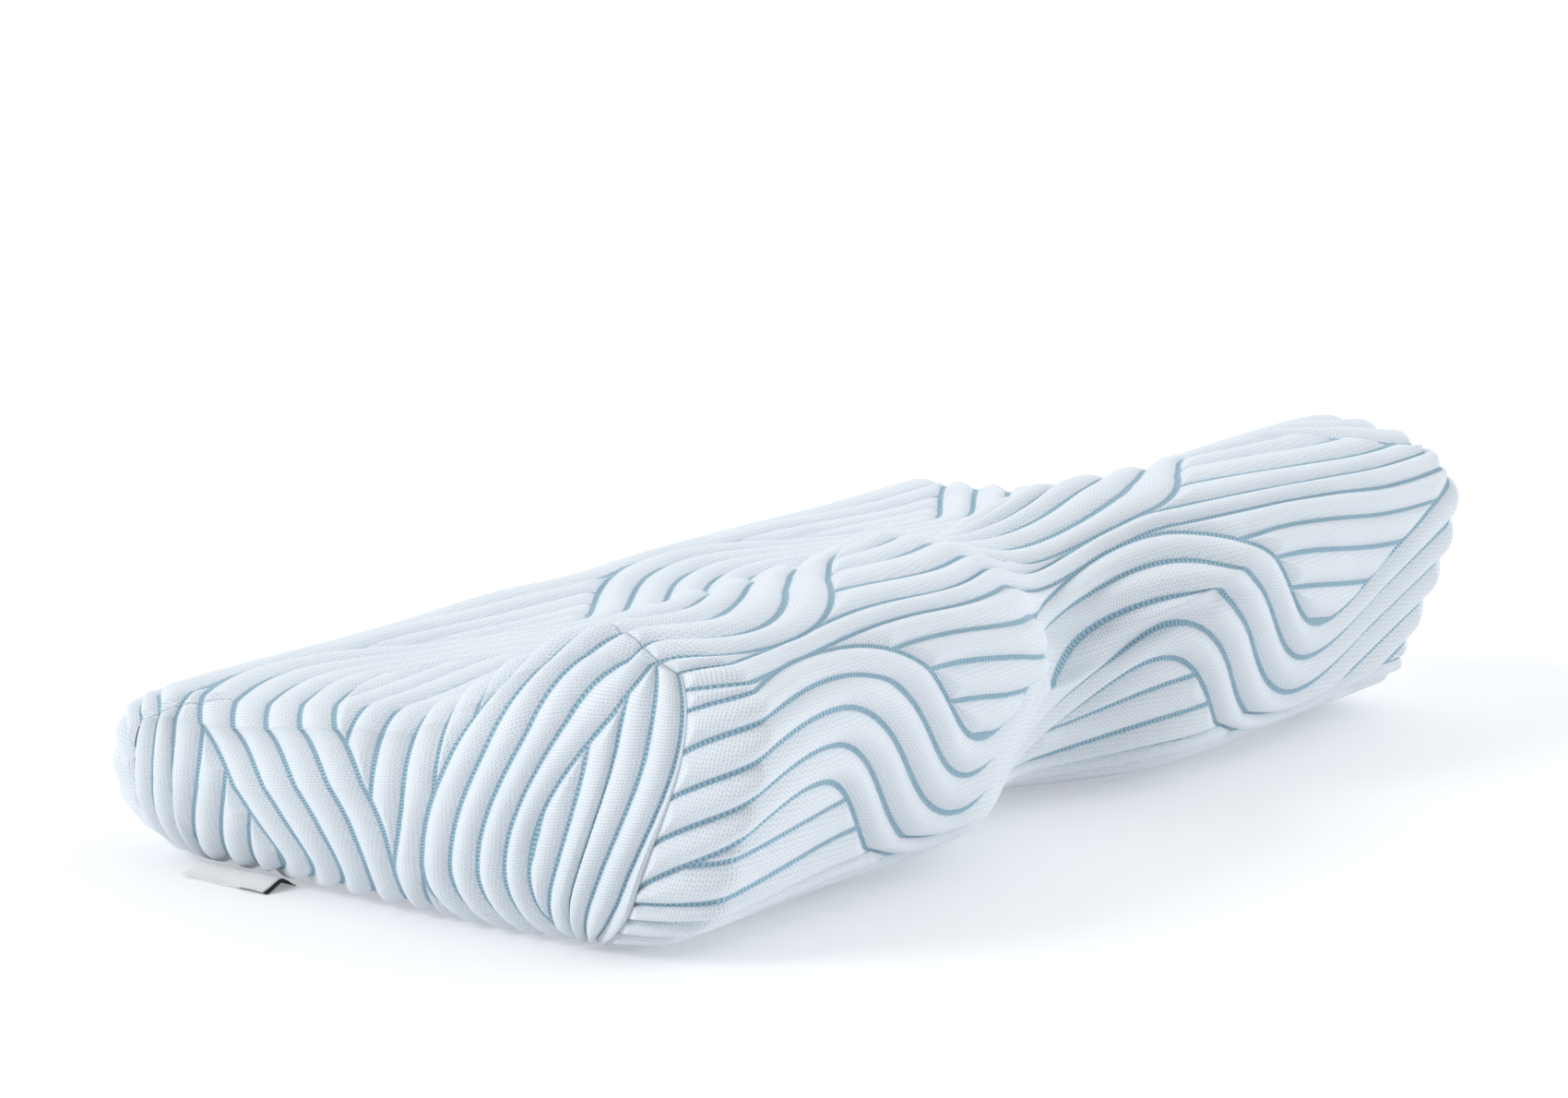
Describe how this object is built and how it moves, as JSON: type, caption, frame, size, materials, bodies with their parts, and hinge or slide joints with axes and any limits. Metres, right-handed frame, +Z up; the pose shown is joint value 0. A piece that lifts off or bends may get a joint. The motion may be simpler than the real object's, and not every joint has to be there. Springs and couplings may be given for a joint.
{
  "type": "contour pillow",
  "caption": "Contour pillow with a high waisted neck roll, a low back roll and a pale blue-white wave-quilted knit cover.",
  "frame": {"origin": "middle of the base, at the centre of the bounding box in plan", "axes": "+X along the long side, -Y towards the tall front wall with the waist, +Z up"},
  "size_m": [0.552, 0.308, 0.124],
  "materials": {
    "quilted_knit": "matte",
    "label_tape": "satin"
  },
  "bodies": {
    "root": {"pillow_body": "quilted_knit", "label": "label_tape"}
  },
  "joints": []
}
